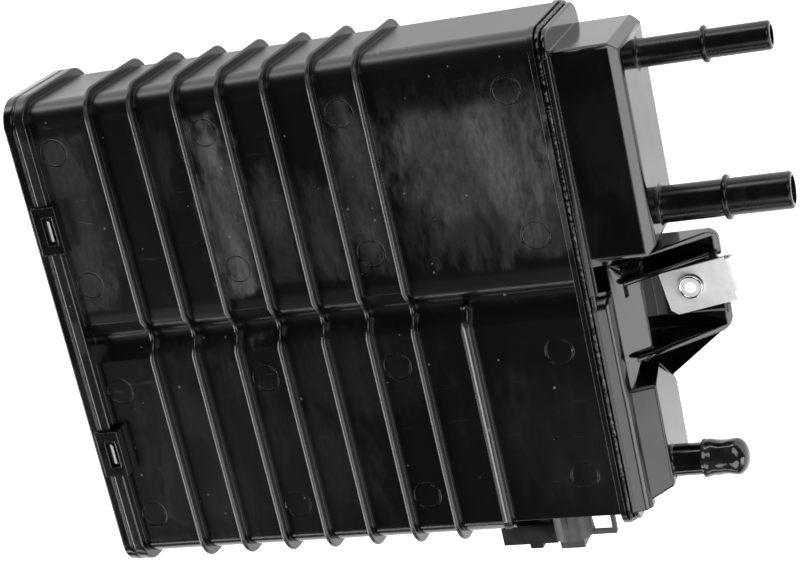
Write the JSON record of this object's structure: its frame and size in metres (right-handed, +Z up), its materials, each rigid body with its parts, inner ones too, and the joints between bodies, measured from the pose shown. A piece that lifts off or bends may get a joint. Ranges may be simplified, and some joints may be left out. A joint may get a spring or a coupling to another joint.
{
  "type": "charcoal canister",
  "caption": "Flat ribbed fuel vapour canister with carbon chambers, pipe stubs and a fixing tab at the head end, and a vent valve set in a bay at its lower edge.",
  "frame": {"origin": "middle of the bounding box, at the plane of the back ribs on which the part lies", "axes": "+X along the length towards the pipes, +Y across the width towards the purge pipe, +Z up from the back ribs to the front panel"},
  "size_m": [0.335, 0.2402, 0.0707],
  "materials": {
    "black_plastic": "satin moulded black",
    "valve_plastic": "satin moulded black",
    "soft_rubber": "glossy soft black",
    "zinc_steel": "bright zinc plate",
    "terminal_metal": "plain",
    "carbon_granules": "dull granular",
    "filter_felt": "felt",
    "inner_plastic": "moulded black",
    "spring_steel": "drawn wire"
  },
  "bodies": {
    "root": {"canister_body": "black_plastic", "end_cover": "black_plastic", "head_cover": "black_plastic", "clip_nut": "zinc_steel", "port_cap": "soft_rubber", "valve_barrel": "valve_plastic", "valve_end_block": "valve_plastic", "valve_seal": "soft_rubber", "valve_terminals": "terminal_metal", "main_carbon_bed": "carbon_granules", "vent_carbon_bed": "carbon_granules", "main_cover_filter": "filter_felt", "main_head_filter": "filter_felt", "vent_cover_filter": "filter_felt", "vent_head_filter": "filter_felt", "main_head_grid": "inner_plastic", "vent_head_grid": "inner_plastic", "main_retainer_plate": "inner_plastic", "vent_retainer_plate": "inner_plastic", "main_spring_upper": "spring_steel", "main_spring_lower": "spring_steel", "vent_spring_upper": "spring_steel", "vent_spring_lower": "spring_steel"}
  },
  "joints": []
}
